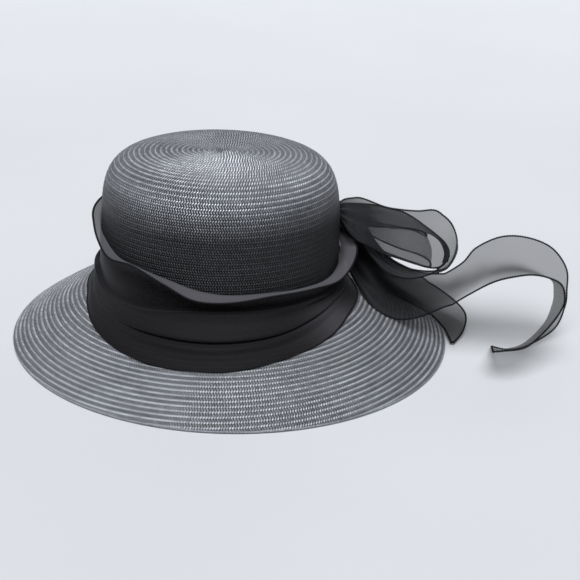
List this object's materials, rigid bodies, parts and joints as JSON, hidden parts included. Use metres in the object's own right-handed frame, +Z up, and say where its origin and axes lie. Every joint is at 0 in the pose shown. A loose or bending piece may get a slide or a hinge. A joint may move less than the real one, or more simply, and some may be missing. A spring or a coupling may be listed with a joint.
{
  "type": "wide-brim straw hat",
  "caption": "Wide-brim hat of dark sewn straw braid with a flat-topped oval crown, a draped sheer band and a loose bow of sheer ribbon at the back.",
  "frame": {"origin": "middle of the hat's footprint, on the surface that the hat stands on", "axes": "+X to the back of the hat and the bow, +Y to the hat's far side, +Z up through the crown"},
  "size_m": [0.4686, 0.328, 0.159],
  "materials": {
    "straw": "dark charcoal sewn straw braid with a soft sheen",
    "band_cloth": "black organza laid in several layers, matte",
    "bow_cloth": "single sheer black organza, matte"
  },
  "bodies": {
    "root": {"crown": "straw", "brim": "straw", "band": "band_cloth", "bow_knot": "band_cloth", "bow_upper_loop": "bow_cloth", "bow_inner_loop": "bow_cloth", "bow_swirl": "bow_cloth", "bow_lower_tail": "bow_cloth"}
  },
  "joints": []
}
